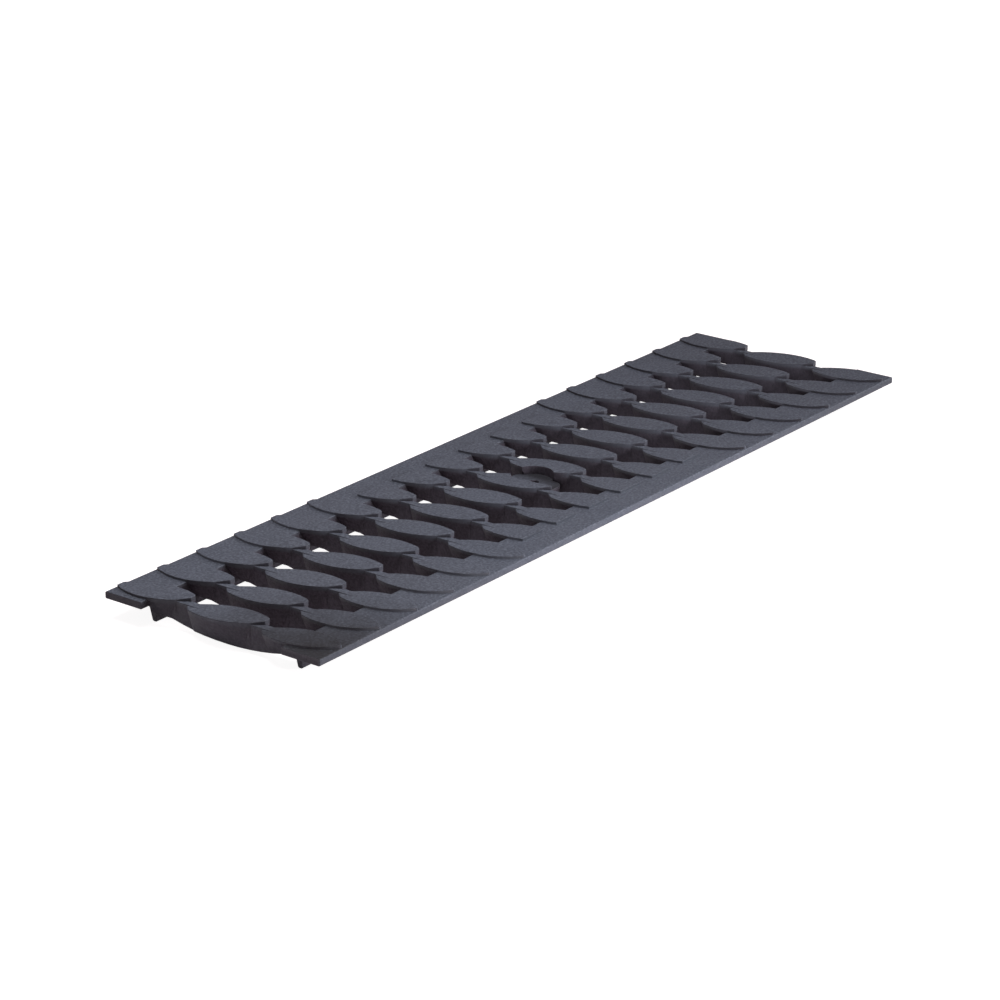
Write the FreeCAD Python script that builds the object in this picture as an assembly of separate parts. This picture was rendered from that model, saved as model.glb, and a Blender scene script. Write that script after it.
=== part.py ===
# Cast iron channel grate: two flat side rims on two webs, joined by a row of cross ribs.
# Each rib is a chain of three leaves, laid over one another like the strands of a rope.
# X runs along the grate, Y across it, Z up. The web undersides lie on Z = 0.
import math
import os

import FreeCAD
import Part

os.makedirs("parts", exist_ok=True)
V = FreeCAD.Vector

# Overall sizes, in millimetres
grate_length = 500.0
grate_width = 134.0
rim_top_height = 13.9

# Side rims: the flat plates that lie on the channel's ledges
rim_width = 23.2
rim_thickness = 3.6
rim_edge_radius = 0.7

# Webs under the inner edges of the rims, their ends sloping back from the rim
web_thickness = 3.4
web_root_radius = 1.5
web_foot_radius = 0.9
web_end_setback = 8.9
web_end_slope = 2.2
web_draft_angle = 2.0

# Ribs along the grate: a straight bar with a belly below, the leaves flaring out of it above
rib_count = 18
rib_end_margin = 12.85
rib_depth_at_web = 8.65
rib_depth_at_middle = 12.7
belly_half_length = 35.0
belly_shift = -2.0
belly_facets = 10

# One leaf of a rib: two equal arcs, a blunt nose at one end and a cut off tip at the other
leaf_length = 51.7
leaf_half_width = 9.1
leaf_spacing = 46.5
leaf_turn_angle = 9.0
leaf_relief = 1.25
leaf_rise_per_mm = 0.031
leaf_rise_on_rim = 0.012
leaf_land_depth = 0.6
leaf_end_inset = 0.6
left_point_past_edge = 2.5
right_point_past_edge = 0.2
leaf_foot_reach = 19.0
half_arc_facets = 4

# Nose and tip of a leaf, in mm from the full point of the two arcs
nose_cut = 4.9
nose_face_width = 3.9
nose_face_shift = 1.1
nose_near_shoulder = 5.6
nose_far_shoulder = 1.9
tip_near_cut = 5.6
tip_far_cut = 7.4
tip_point_cut = 2.4
tip_point_shift = 0.6

# Neck between two leaves: the bar's top shows there as a low saddle that leans to the far side
neck_half_thickness = 3.2
neck_near_rise = 0.85
neck_far_drop = 0.2

# Plain strip on each rim, where the leaves stop short of the outer edge
plain_strip_width = 14.5
plain_strip_ribs = 6

# Lock point in the middle of the grate: an oblong lug on one rib, in a recess, with a hole through it
lock_floor_drop = 3.5
lock_lug_depth = 10.0
lock_lug_to_far_axis = 6.65
lock_lug_length = 29.0
lock_lug_corner_radius = 6.0
lock_centre_shift = -1.2
lock_recess_to_far_axis = 2.75
lock_notch_from_axis = 3.2
lock_notch_length = 13.0
lock_hole_diameter = 5.5

# Values that follow from the sizes above
half_length = grate_length / 2.0
half_width = grate_width / 2.0
slot_end_y = half_width - rim_width
rim_under = rim_top_height - rim_thickness
rib_pitch = (grate_length - 2.0 * rib_end_margin) / (rib_count - 1)
leaf_top = rim_top_height + leaf_relief
web_draft = math.tan(math.radians(web_draft_angle))
web_root_y = slot_end_y + web_thickness + web_draft * rim_thickness
web_foot_y = web_root_y - web_draft * rim_under
half_leaf = leaf_length / 2.0
left_half_leaf = half_width - leaf_spacing + left_point_past_edge
right_half_leaf = half_width - leaf_spacing + right_point_past_edge
lock_lug_reach = rib_pitch / 2.0 - lock_lug_to_far_axis
lock_recess_radius = rib_pitch / 2.0 - lock_recess_to_far_axis
above = rim_top_height + 12.0
below = -4.0
foot_overlap = 0.4


def yz_face(points):
    """Flat face in the Y-Z plane from straight sides."""
    corners = [V(0, y, z) for y, z in points]
    return Part.Face(Part.makePolygon(corners + corners[:1]))


def swept_across(face, half_span):
    """Solid made by moving a Y-Z face along X, the same way to both sides."""
    moved = face.copy()
    moved.translate(V(-half_span, 0, 0))
    return moved.extrude(V(2.0 * half_span, 0, 0))


# Rim and web: one section, swept along the grate
def rim_and_web():
    foot_in = slot_end_y + web_draft * rim_top_height
    section = yz_face([
        (half_width, rim_under),
        (half_width, rim_top_height),
        (slot_end_y, rim_top_height),
        (foot_in, 0.0),
        (web_foot_y, 0.0),
        (web_root_y, rim_under),
    ])
    bar = swept_across(section, half_length)

    def edges_at(y, z):
        found = []
        for edge in bar.Edges:
            middle = edge.CenterOfMass
            if edge.Length > grate_length * 0.9 and abs(middle.y - y) < 0.01 and abs(middle.z - z) < 0.01:
                found.append(edge)
        return found

    bar = bar.makeFillet(web_root_radius, edges_at(web_root_y, rim_under))
    bar = bar.makeFillet(web_foot_radius, edges_at(foot_in, 0.0) + edges_at(web_foot_y, 0.0))
    soft = edges_at(half_width, rim_top_height) + edges_at(half_width, rim_under)
    bar = bar.makeFillet(rim_edge_radius, soft)

    # The web stops short of the rim at both ends, further back at its foot
    for side in (-1.0, 1.0):
        root_x = side * (half_length - web_end_setback)
        foot_x = side * (half_length - web_end_setback - web_end_slope)
        past_x = side * (half_length + 5.0)
        corners = [
            V(root_x, 0, rim_under),
            V(foot_x, 0, 0.0),
            V(foot_x, 0, below),
            V(past_x, 0, below),
            V(past_x, 0, rim_under),
        ]
        block = Part.Face(Part.makePolygon(corners + corners[:1])).extrude(V(0, grate_width, 0))
        bar = bar.cut(block)
    return bar


# Outline of a leaf around its middle: near arc from tip to nose, blunt nose, far arc back to the tip.
# A leaf that ends on a rim, at side -1 or 1, has a shorter half there that closes to a point.
def leaf_corners(rim_side):
    def half_arc(side, start_v, end_v, half):
        radius = (half ** 2 + leaf_half_width ** 2) / (2.0 * leaf_half_width)
        places = [start_v + (end_v - start_v) * step / half_arc_facets for step in range(half_arc_facets + 1)]
        return [(side * (math.sqrt(radius ** 2 - v ** 2) - radius + leaf_half_width), v) for v in places]

    if rim_side > 0:
        near_tip = half_arc(-1.0, left_half_leaf, 0.0, left_half_leaf)
        far_tip = half_arc(1.0, 0.0, left_half_leaf, left_half_leaf)[:-1]
    else:
        near_tip = half_arc(-1.0, half_leaf - tip_near_cut, 0.0, half_leaf)
        far_tip = half_arc(1.0, 0.0, half_leaf - tip_far_cut, half_leaf)
        far_tip.append((tip_point_shift, half_leaf - tip_point_cut))
    if rim_side < 0:
        near_nose = half_arc(-1.0, 0.0, -right_half_leaf, right_half_leaf)
        far_nose = half_arc(1.0, -right_half_leaf, 0.0, right_half_leaf)[1:]
    else:
        face_v = nose_cut - half_leaf
        near_nose = half_arc(-1.0, 0.0, face_v + nose_near_shoulder, half_leaf)
        near_nose.append((nose_face_shift - nose_face_width / 2.0, face_v))
        far_nose = half_arc(1.0, face_v + nose_far_shoulder, 0.0, half_leaf)
        far_nose.insert(0, (nose_face_shift + nose_face_width / 2.0, face_v))
    outline = near_tip + near_nose[1:] + far_nose + far_tip[1:]
    turn = math.radians(leaf_turn_angle)
    return [(u * math.cos(turn) - v * math.sin(turn), u * math.sin(turn) + v * math.cos(turn)) for u, v in outline]


# One leaf: a plate with a sloping top, on a body that runs down to the rib's straight foot
def leaf(centre_y, rim_side, foot_height):
    land_foot = rim_top_height - leaf_land_depth
    corners = leaf_corners(rim_side)
    rim = [V(x, y, land_foot) for x, y in corners]
    plate = Part.Face(Part.makePolygon(rim + rim[:1])).extrude(V(0, 0, above - land_foot))
    tip_fall = leaf_rise_on_rim if rim_side > 0 else leaf_rise_per_mm
    nose_rise = leaf_rise_on_rim if rim_side < 0 else leaf_rise_per_mm
    side_view = yz_face([
        (-leaf_length, below),
        (leaf_length, below),
        (leaf_length, leaf_top - tip_fall * leaf_length),
        (0.0, leaf_top),
        (-leaf_length, leaf_top + nose_rise * leaf_length),
    ])
    plate = plate.common(swept_across(side_view, 3.0 * leaf_half_width))

    # Each corner of the plate has its foot straight below, drawn in to the rib's thickness
    foot_half = neck_half_thickness - 0.1
    feet = []
    for x, y in corners:
        foot_x = max(-foot_half, min(foot_half, x))
        foot_y = max(-leaf_foot_reach, min(leaf_foot_reach, y))
        feet.append(V(foot_x, foot_y, foot_height))
    walls = []
    for index in range(len(corners)):
        following = (index + 1) % len(corners)
        walls.append([rim[index], rim[following], feet[index]])
        if feet[index].distanceToPoint(feet[following]) > 0.01:
            walls.append([rim[following], feet[following], feet[index]])
    base = []
    for point in feet:
        if not base or base[-1].distanceToPoint(point) > 0.01:
            base.append(point)
    if base[0].distanceToPoint(base[-1]) < 0.01:
        base.pop()
    faces = [Part.Face(Part.makePolygon(w + w[:1])) for w in walls + [rim, base]]
    body = Part.makeSolid(Part.makeShell(faces))
    if body.Volume < 0:
        body.reverse()
    one = plate.fuse(body)
    one.translate(V(0, centre_y, 0))
    return one


# One rib: a bar with three leaves on it and a belly on its underside
def rib(outer_y):
    in_plate = rim_top_height - rim_thickness / 2.0
    in_web = slot_end_y + 0.3 * web_thickness
    shallow = rim_top_height - rib_depth_at_web
    deep = rim_top_height - rib_depth_at_middle
    bar_section = [
        V(-neck_half_thickness, -in_web, below),
        V(neck_half_thickness, -in_web, below),
        V(neck_half_thickness, -in_web, rim_top_height - neck_far_drop),
        V(-neck_half_thickness, -in_web, rim_top_height + neck_near_rise),
    ]
    bar = Part.Face(Part.makePolygon(bar_section + bar_section[:1])).extrude(V(0, 2.0 * in_web, 0))
    leaves = [
        leaf(-leaf_spacing, -1, shallow - foot_overlap),
        leaf(0.0, 0, deep - foot_overlap),
        leaf(leaf_spacing, 1, shallow - foot_overlap),
    ]
    chain = bar.multiFuse(leaves)
    side_view = [
        (-in_web, shallow),
        (-in_web, in_plate),
        (-outer_y, in_plate),
        (-outer_y, above),
        (outer_y, above),
        (outer_y, in_plate),
        (in_web, in_plate),
        (in_web, shallow),
    ]
    drop = shallow - deep
    belly_radius = (belly_half_length ** 2 + drop ** 2) / (2.0 * drop)
    for step in range(belly_facets + 1):
        y = belly_half_length * (1.0 - 2.0 * step / belly_facets)
        side_view.append((y + belly_shift, deep + belly_radius - math.sqrt(belly_radius ** 2 - y ** 2)))
    side_view = yz_face(side_view)
    return chain.common(swept_across(side_view, 4.0 * leaf_half_width))


# All ribs, with the shorter ones along the plain strips
full_rib = rib(half_width - leaf_end_inset)
short_rib = rib(half_width - plain_strip_width)
middle_index = (rib_count - 1) / 2.0
ribs = []
for index in range(rib_count):
    beside_strip = abs(index - middle_index) < plain_strip_ribs / 2.0
    one = (short_rib if beside_strip else full_rib).copy()
    one.translate(V((index - middle_index) * rib_pitch, 0, 0))
    ribs.append(one)

# Lock point: the lug reaches from one middle rib towards the other, the recess is cut into both
lock_floor = rim_top_height - lock_floor_drop
lug_foot = rim_top_height - lock_lug_depth
lug_start = -rib_pitch / 2.0
lug = Part.makeBox(lock_lug_reach - lug_start, lock_lug_length, lock_floor - lug_foot)
lug.translate(V(lug_start, lock_centre_shift - lock_lug_length / 2.0, lug_foot))
far_corners = [e for e in lug.Edges if e.BoundBox.ZLength > 1.0 and e.CenterOfMass.x > 0]
lug = lug.makeFillet(lock_lug_corner_radius, far_corners)
recess = Part.makeCylinder(lock_recess_radius, above, V(0, 0, lock_floor))
notch = Part.makeBox(lock_recess_radius, half_leaf + lock_notch_length / 2.0, above)
notch.translate(V(lug_start + lock_notch_from_axis, -half_leaf, lock_floor))
hole = Part.makeCylinder(lock_hole_diameter / 2.0, above, V(0, lock_centre_shift, below))

# The casting
left_rim = rim_and_web()
right_rim = left_rim.mirror(V(0, 0, 0), V(0, 1, 0))
grate = left_rim.multiFuse([right_rim] + ribs)
grate = grate.cut(recess.fuse(notch))
grate = grate.fuse(lug)
grate = grate.cut(hole)
grate = grate.removeSplitter()
if grate.ShapeType != "Solid" and len(grate.Solids) == 1:
    grate = grate.Solids[0]
box = grate.BoundBox
print("solids", len(grate.Solids), "valid", grate.isValid(), "volume", round(grate.Volume))
print("box", round(box.XLength, 2), round(box.YLength, 2), round(box.ZLength, 2), round(box.ZMin, 3))
grate.exportStep("parts/grate.step")
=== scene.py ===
import bpy
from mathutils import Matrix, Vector

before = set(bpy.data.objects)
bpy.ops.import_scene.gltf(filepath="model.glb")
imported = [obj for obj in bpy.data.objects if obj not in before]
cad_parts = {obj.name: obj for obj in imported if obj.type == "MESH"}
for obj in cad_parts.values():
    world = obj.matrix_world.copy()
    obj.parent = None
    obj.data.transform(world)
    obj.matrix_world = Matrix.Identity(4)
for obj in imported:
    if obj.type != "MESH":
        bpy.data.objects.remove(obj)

scene = bpy.context.scene
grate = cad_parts["grate"]
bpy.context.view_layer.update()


class Wiring:
    """Builds the nodes of one tree. A value is a socket, a plain number or a colour."""

    def __init__(self, tree):
        self.tree = tree

    def feed(self, value, socket):
        """Links a socket to an input, or sets the input to a plain value."""
        if isinstance(value, bpy.types.NodeSocket):
            self.tree.links.new(value, socket)
        else:
            socket.default_value = value

    def add(self, kind, inputs=None, **settings):
        """A new node with its settings, and its inputs by name or number."""
        made = self.tree.nodes.new(kind)
        for name, value in settings.items():
            setattr(made, name, value)
        for name, value in (inputs or {}).items():
            self.feed(value, made.inputs[name])
        return made

    def noise(self, place, scale, detail, rough):
        """Value of a noise texture, its scale in features per metre."""
        inputs = {"Vector": place, "Scale": scale, "Detail": detail, "Roughness": rough}
        return self.add("ShaderNodeTexNoise", inputs).outputs["Fac"]

    def openness(self, reach):
        """How open the surface lies to its surroundings within a reach, 1 for a flat face."""
        made = self.add("ShaderNodeAmbientOcclusion", {"Distance": reach}, samples=6, only_local=True)
        return made.outputs["AO"]

    def distance(self, place, point):
        """Distance from a point."""
        made = self.add("ShaderNodeVectorMath", {0: place, 1: point}, operation="DISTANCE")
        return made.outputs["Value"]

    def fade(self, value, span, at_start=0.0, at_end=1.0):
        """A value that runs from one level to another over a span and is clamped there."""
        inputs = {"Value": value, "From Min": span[0], "From Max": span[1], "To Min": at_start, "To Max": at_end}
        return self.add("ShaderNodeMapRange", inputs).outputs["Result"]

    def maths(self, operation, a, b):
        """One sum of two values."""
        return self.add("ShaderNodeMath", {0: a, 1: b}, operation=operation).outputs[0]

    def times(self, first, *others):
        """Product of values."""
        for other in others:
            first = self.maths("MULTIPLY", first, other)
        return first

    def most(self, first, *others):
        """Largest of values."""
        for other in others:
            first = self.maths("MAXIMUM", first, other)
        return first

    def all_but(self, value):
        """One less a value."""
        return self.maths("SUBTRACT", 1.0, value)

    def blend(self, factor, under, over):
        """One colour laid over another by a factor."""
        made = self.add("ShaderNodeMix", {0: factor, 6: under, 7: over}, data_type="RGBA", blend_type="MIX")
        return made.outputs[2]


# Rounded look of the casting's flared walls

WELD_DISTANCE = 0.00001
SHARP_EDGE_ANGLE = 0.5


def soften(piece, sharp_from):
    """Shades the walls smoothly and keeps edges sharper than an angle, in radians."""
    tree = bpy.data.node_groups.new("cast_smoothing", "GeometryNodeTree")
    for way in ("INPUT", "OUTPUT"):
        tree.interface.new_socket("Geometry", in_out=way, socket_type="NodeSocketGeometry")
    wire = Wiring(tree)
    start = wire.add("NodeGroupInput").outputs[0]
    welded = wire.add("GeometryNodeMergeByDistance", {"Geometry": start, "Distance": WELD_DISTANCE}).outputs[0]
    angle = wire.add("GeometryNodeInputMeshEdgeAngle").outputs["Unsigned Angle"]
    sharp = wire.add("FunctionNodeCompare", {0: angle, 1: sharp_from},
                     operation="GREATER_THAN", data_type="FLOAT").outputs[0]
    normals = wire.add("GeometryNodeSetMeshNormal",
                       {"Mesh": welded, "Remove Custom": True, "Edge Sharpness": sharp}, mode="SHARPNESS")
    wire.add("NodeGroupOutput", {0: normals.outputs[0]})
    modifier = piece.modifiers.new("cast_smoothing", "NODES")
    modifier.node_group = tree


soften(grate, SHARP_EDGE_ANGLE)


# Cast iron with a thin dark blue-grey coat

# Places where the finish and its painted shade change, in metres: x along the grate, y across it, z up
RIM_TOP_Z = (0.0120, 0.0138)
LEAF_FOOT_Z = (0.0126, 0.0140)
LUG_TOP_Z = (0.0108, 0.0112)
LUG_FAR_X = (-0.0030, 0.0068)
LUG_RIGHT_Y = (-0.0140, -0.0045)
SLOT_END_Y = (0.0435, 0.0450)
RIM_INSIDE_Y = (0.0640, 0.0650)
RIM_EDGE_Y = (0.0660, 0.0666)
END_RIB_X = (0.2362, 0.2378)
END_FACE_X = (0.2484, 0.2490)
LOCK_POINT = (0.0, 0.0, 0.0125)
# a near corner that the colour darkens towards
DARKENED_CORNER = (-0.265, -0.075, 0.0139)
# the other near corner, where the walls are darker
OTHER_DARKENED_CORNER = (-0.252, 0.060, 0.008)
EDGE_RADIUS = 0.0007
EDGE_REACH = 0.003
HOLLOW_REACH = 0.022

# Colours of the coat and its flecks, and of the coat's painted shade towards the far end
COAT = (0.074, 0.081, 0.106, 1)
COAT_PATCH = (0.088, 0.096, 0.124, 1)
COAT_CLOUD = (0.080, 0.083, 0.103, 1)
# painted shade: the coat darker towards the far end of the grate
FAR_END_SHADE = (0.040, 0.038, 0.043, 1)
DARK_FLECK = (0.028, 0.030, 0.039, 1)
PALE_FLECK = (0.168, 0.178, 0.218, 1)
WORN_EDGE = (0.16, 0.168, 0.195, 1)

# Colours of the relief's steps: painted shade and painted light on them
# painted shade on the steps that face -y
SHORT_STEP_SHADE = (0.030, 0.032, 0.040, 1)
# painted light on the steps at the near end
STEP_PAINTED_LIGHT = (0.20, 0.205, 0.235, 1)
# painted shade on the steps at the far end
STEP_PAINTED_SHADE = (0.024, 0.022, 0.028, 1)

# Colours of the dirt, of the painted shade, and of the darker corners
SHADED_WALL = (0.050, 0.043, 0.053, 1)
BROWN_DARK = (0.066, 0.056, 0.070, 1)
BROWN_PALE = (0.126, 0.108, 0.135, 1)
# painted shade: the brown walls darker towards the far end
FAR_WALL_SHADE = (0.036, 0.030, 0.039, 1)
# painted shade in the crevices between the rims
CREVICE_SHADE = (0.020, 0.018, 0.023, 1)
# painted shade on the lug's sunken top, at its far end and right-hand side
LUG_SHADE = (0.024, 0.022, 0.026, 1)
# painted shade on the up-facing ledges in the hollows
LEDGE_SHADE = (0.036, 0.030, 0.038, 1)
# painted shade on the walls in the recess round the lock point
LOCK_SHADE = (0.034, 0.029, 0.036, 1)
# darker walls round the other near corner
OTHER_CORNER_DARKENING = (0.024, 0.023, 0.027, 1)
# painted shade towards the ends of the long sides
SIDE_END_SHADE = (0.034, 0.036, 0.043, 1)
# darker towards one near corner
CORNER_DARKENING = (0.0180, 0.0162, 0.0196, 1)

GLOSS = 0.35
GLOSS_OF_DIRT = 0.08
BUMP_STRENGTH = 0.35
BUMP_DEPTH = 0.0003


def cast_iron():
    """Coated iron with a cast grain, brown dirt in its hollows, painted shade in its recesses, painted light and
    shade on its relief, and one corner that is darker.
    """
    material = bpy.data.materials.new("coated_cast_iron")
    material.use_nodes = True
    shader = material.node_tree.nodes["Principled BSDF"]
    wire = Wiring(material.node_tree)
    fade, times, most, blend = wire.fade, wire.times, wire.most, wire.blend

    place = wire.add("ShaderNodeTexCoord").outputs["Object"]
    facing = wire.add("ShaderNodeNewGeometry").outputs["Normal"]
    x, y, z = wire.add("ShaderNodeSeparateXYZ", {0: place}).outputs
    facing_x, facing_y, facing_z = wire.add("ShaderNodeSeparateXYZ", {0: facing}).outputs
    along = wire.maths("ABSOLUTE", x, 0.0)
    aside = wire.maths("ABSOLUTE", y, 0.0)

    grain = wire.noise(place, 800.0, 2.0, 0.55)
    pits = wire.noise(place, 380.0, 3.0, 0.55)
    patches = wire.noise(place, 60.0, 3.0, 0.6)
    clouds = wire.noise(place, 14.0, 2.0, 0.5)

    # Wear: where a small rounding would turn the surface, on outside corners only
    rounded = wire.add("ShaderNodeBevel", {"Radius": EDGE_RADIUS}, samples=6).outputs[0]
    same_way = wire.add("ShaderNodeVectorMath", {0: rounded, 1: facing}, operation="DOT_PRODUCT")
    turn = wire.all_but(same_way.outputs["Value"])
    open_near = wire.openness(EDGE_REACH)
    worn = times(fade(turn, (0.04, 0.25)), fade(open_near, (0.7, 0.95)), fade(pits, (0.35, 0.65), 0.25, 1.0))

    # Where a point lies: on a wall, between the rims, on a long side
    wall = fade(facing_z, (0.3, 0.8), 1.0, 0.0)
    hollow = fade(wire.openness(HOLLOW_REACH), (0.6, 0.97), 1.0, 0.0)
    between_rims = fade(aside, SLOT_END_Y, 1.0, 0.0)
    low = most(fade(z, RIM_TOP_Z, 1.0, 0.0), between_rims)
    long_side = times(fade(aside, RIM_EDGE_Y), wall)
    shade = times(hollow, low, wall)

    # Brown dirt: in the hollows, on the end faces and around the lock point; painted shade in the crevices, on
    # the ledges in the hollows, on the lug's sunken top and round the lock point
    inside = times(fade(along, END_RIB_X, 0.85, 0.4), low, fade(aside, RIM_INSIDE_Y, 1.0, 0.0))
    steep = times(fade(facing_z, (0.8, 0.97), 1.0, 0.0), fade(z, LEAF_FOOT_Z, 1.0, 0.0))
    end_face = times(fade(along, END_FACE_X), fade(aside, RIM_EDGE_Y, 0.5, 0.0))
    # walls round the lock point: brown dirt there, and painted shade in the recess
    by_lock = times(fade(wire.distance(place, LOCK_POINT), (0.013, 0.019), 0.9, 0.0), wall)
    brown = most(times(most(hollow, inside), steep, low), times(end_face, wall), by_lock)
    # painted shade in the crevices between the rims
    crevice_shade = times(fade(open_near, (0.45, 0.75), 0.85, 0.0), between_rims, wall)
    # painted shade on the up-facing ledges in the hollows
    ledge_shade = times(brown, fade(facing_z, (0.05, 0.4), 0.0, 0.6))
    # painted shade on the lug's sunken top, at its far end and right-hand side
    lug_end = most(fade(x, LUG_FAR_X), fade(y, LUG_RIGHT_Y, 1.0, 0.0))
    lug_shade = times(lug_end, fade(z, LUG_TOP_Z, 1.0, 0.0), fade(facing_z, (0.9, 0.97), 0.0, 0.85))

    # Steps of the relief on the rims: paler at one end of the grate, darker at the other, as painted light and
    # painted shade; painted shade also on the steps that face -y
    step = times(wire.all_but(low), wall, fade(aside, RIM_EDGE_Y, 1.0, 0.0))
    # painted shade on the steps that face -y
    short_step_shade = times(step, fade(facing_y, (-0.8, -0.4), 1.0, 0.0))
    long_step = times(step, fade(facing_x, (-0.7, -0.2), 1.0, 0.0))
    # painted light at the near end
    step_painted_light = times(long_step, fade(x, (-0.2, -0.02), 0.8, 0.0), fade(y, (-0.04, 0.04), 1.0, 0.45))
    # painted shade at the far end
    step_painted_shade = times(long_step, fade(x, (-0.08, 0.10), 0.0, 0.95))

    # Darker towards one near corner and round another, and painted shade towards the ends of the long sides
    ragged = wire.maths("ADD", wire.distance(place, DARKENED_CORNER), times(patches, 0.03))
    # darker towards one near corner, fading with distance
    corner_darkening = times(fade(ragged, (0.042, 0.112), 1.0, 0.0), wire.all_but(long_side),
                  fade(wall, (0.0, 1.0), 1.0, 0.36), fade(grain, (0.40, 0.62), 1.0, 0.86))
    # walls darker round the other near corner
    other_corner_darkening = times(fade(wire.distance(place, OTHER_DARKENED_CORNER), (0.020, 0.060), 0.55, 0.0), wall)
    # painted shade towards the ends of the long sides
    side_end_shade = times(long_side, fade(along, (0.09, 0.21), 0.0, 0.24))

    # Colour: the coat with its flecks, then the dirt, the painted shade and light and the darker corners over
    # it, then the worn edges
    sandy = fade(facing_z, (0.2, 0.8), 0.3, 1.0)
    brown_coat = blend(fade(wire.maths("ADD", grain, pits), (0.78, 1.22)), BROWN_DARK, BROWN_PALE)
    # painted shade: the brown walls darker towards the far end
    brown_coat = blend(fade(x, (-0.2, 0.25), 0.0, 0.75), brown_coat, FAR_WALL_SHADE)
    colour = blend(fade(patches, (0.3, 0.7)), COAT, COAT_PATCH)
    for factor, over in (
            (fade(clouds, (0.35, 0.65), 0.0, 0.35), COAT_CLOUD),
            # painted shade towards the far end
            (fade(x, (0.05, 0.25), 0.0, 0.13), FAR_END_SHADE),
            (times(fade(grain, (0.34, 0.49), 0.43, 0.0), sandy), DARK_FLECK),
            (times(fade(grain, (0.51, 0.66), 0.0, 0.43), sandy), PALE_FLECK),
            (times(shade, 0.8), SHADED_WALL),
            (brown, brown_coat),
            # painted shade in the crevices
            (crevice_shade, CREVICE_SHADE),
            # painted shade on the lug's sunken top
            (lug_shade, LUG_SHADE),
            # painted shade on the steps that face -y
            (times(short_step_shade, 0.5), SHORT_STEP_SHADE),
            # painted shade on the ledges in the hollows
            (ledge_shade, LEDGE_SHADE),
            # painted light and painted shade on the steps at the two ends
            (step_painted_light, STEP_PAINTED_LIGHT),
            (step_painted_shade, STEP_PAINTED_SHADE),
            # painted shade round the lock point
            (times(by_lock, 0.15), LOCK_SHADE),
            # darker round the other near corner
            (other_corner_darkening, OTHER_CORNER_DARKENING),
            # painted shade towards the ends of the long sides
            (side_end_shade, SIDE_END_SHADE),
            # darker towards one near corner
            (corner_darkening, CORNER_DARKENING),
            (times(worn, 0.3), WORN_EDGE)):
        colour = blend(factor, colour, over)
    wire.feed(colour, shader.inputs["Base Color"])

    # Surface: rough with smoother edges, dull where it is dirty or faces down
    rough = wire.maths("SUBTRACT", fade(pits, (0.3, 0.7), 0.52, 0.7), times(worn, 0.12))
    wire.feed(rough, shader.inputs["Roughness"])
    gloss = times(fade(brown, (0.0, 1.0), GLOSS, GLOSS_OF_DIRT), fade(facing_z, (-0.5, -0.1), 0.12, 1.0))
    wire.feed(GLOSS, shader.inputs["Specular IOR Level"])
    wire.feed(gloss, shader.inputs["Specular IOR Level"])

    height = wire.maths("ADD", times(grain, 0.5), times(pits, 0.8))
    bump = wire.add("ShaderNodeBump", {"Strength": BUMP_STRENGTH, "Distance": BUMP_DEPTH,
                                       "Height": height, "Normal": rounded})
    wire.feed(bump.outputs[0], shader.inputs["Normal"])
    return material


grate.data.materials.clear()
grate.data.materials.append(cast_iron())


# White floor that keeps the shadow

FLOOR_REACH = 12.0
FLOOR_DROP = 0.0002
FLOOR_COLOUR = (0.50, 0.42, 0.43, 1)
FLOOR_GLOW = 0.92
WHITE = (1, 1, 1, 1)


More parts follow.
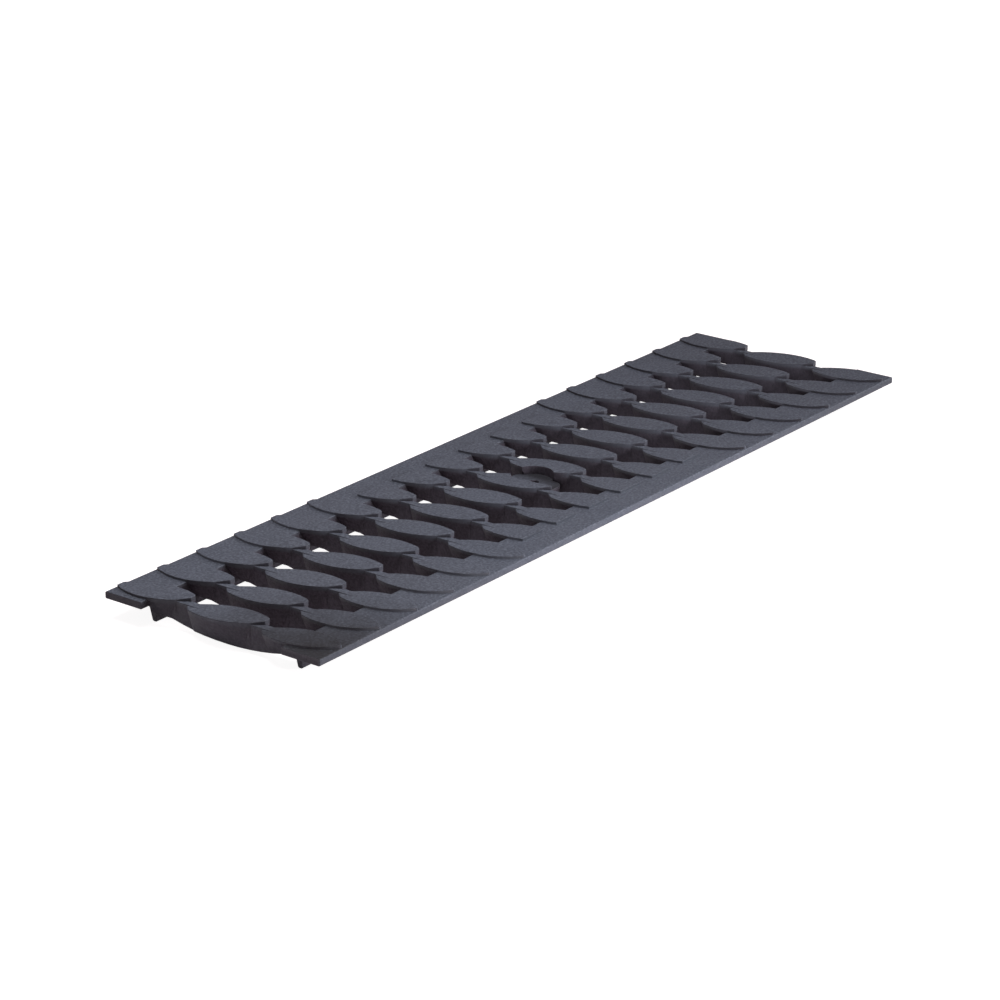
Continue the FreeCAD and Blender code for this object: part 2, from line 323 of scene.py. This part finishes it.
def pale_floor():
    """Matt floor that looks white to the eye and in reflections."""
    material = bpy.data.materials.new("white_floor")
    material.use_nodes = True
    tree = material.node_tree
    tree.nodes.remove(tree.nodes["Principled BSDF"])
    wire = Wiring(tree)
    path = wire.add("ShaderNodeLightPath")
    seen = wire.most(path.outputs["Is Camera Ray"], path.outputs["Is Glossy Ray"],
                     path.outputs["Is Transmission Ray"])
    matt = wire.add("ShaderNodeBsdfDiffuse", {"Color": FLOOR_COLOUR})
    glow = wire.add("ShaderNodeEmission", {"Color": WHITE, "Strength": wire.times(seen, FLOOR_GLOW)})
    both = wire.add("ShaderNodeAddShader", {0: matt.outputs[0], 1: glow.outputs[0]})
    tree.links.new(both.outputs[0], tree.nodes["Material Output"].inputs["Surface"])
    return material


floor_mesh = bpy.data.meshes.new("floor")
floor_corners = [(-1, -1), (1, -1), (1, 1), (-1, 1)]
floor_mesh.from_pydata([(FLOOR_REACH * across, FLOOR_REACH * up, 0) for across, up in floor_corners],
                       [], [(0, 1, 2, 3)])
floor = bpy.data.objects.new("floor", floor_mesh)
scene.collection.objects.link(floor)
floor.location.z = -FLOOR_DROP
floor.data.materials.append(pale_floor())


# Light: a broad key from the right, a softer one above, a low one beside the long edge, a dim room

LAMP_COLOUR = (0.96, 0.985, 1.0)
ROOM_COLOUR = (1.0, 0.84, 0.85, 1)
ROOM_STRENGTH = 0.16


def area_light(name, location, target, size, watts):
    """A round lamp that points at a target and isn't seen itself."""
    lamp = bpy.data.lights.new(name, "AREA")
    lamp.shape = "DISK"
    lamp.size = size
    lamp.energy = watts
    lamp.color = LAMP_COLOUR
    made = bpy.data.objects.new(name, lamp)
    made.location = location
    made.rotation_euler = (Vector(target) - Vector(location)).to_track_quat("-Z", "Y").to_euler()
    made.visible_camera = False
    scene.collection.objects.link(made)
    return made


area_light("key_light", (6.75, -4.05, 4.32), (0, 0, 0), 5.0, 400.0)
area_light("near_light", (-0.20, 0.03, 0.75), (-0.20, 0.03, 0), 0.5, 3.7)
side_light = area_light("side_light", (0.02, -0.42, 0.09), (0.02, -0.067, 0.01), 0.16, 1.62)
side_light.visible_glossy = False

world = bpy.data.worlds.new("room")
scene.world = world
world.use_nodes = True
room = world.node_tree.nodes["Background"]
room.inputs["Color"].default_value = ROOM_COLOUR
room.inputs["Strength"].default_value = ROOM_STRENGTH


# Camera

camera_data = bpy.data.cameras.new("camera")
camera_data.sensor_width = 36.0
camera_data.lens = 120.89
camera = bpy.data.objects.new("camera", camera_data)
camera.location = (-1.312454, -0.982235, 0.627022)
camera.rotation_euler = Vector((0.74208, 0.56720, -0.35724)).to_track_quat("-Z", "Y").to_euler()
scene.collection.objects.link(camera)
scene.camera = camera

scene.view_settings.view_transform = "Standard"
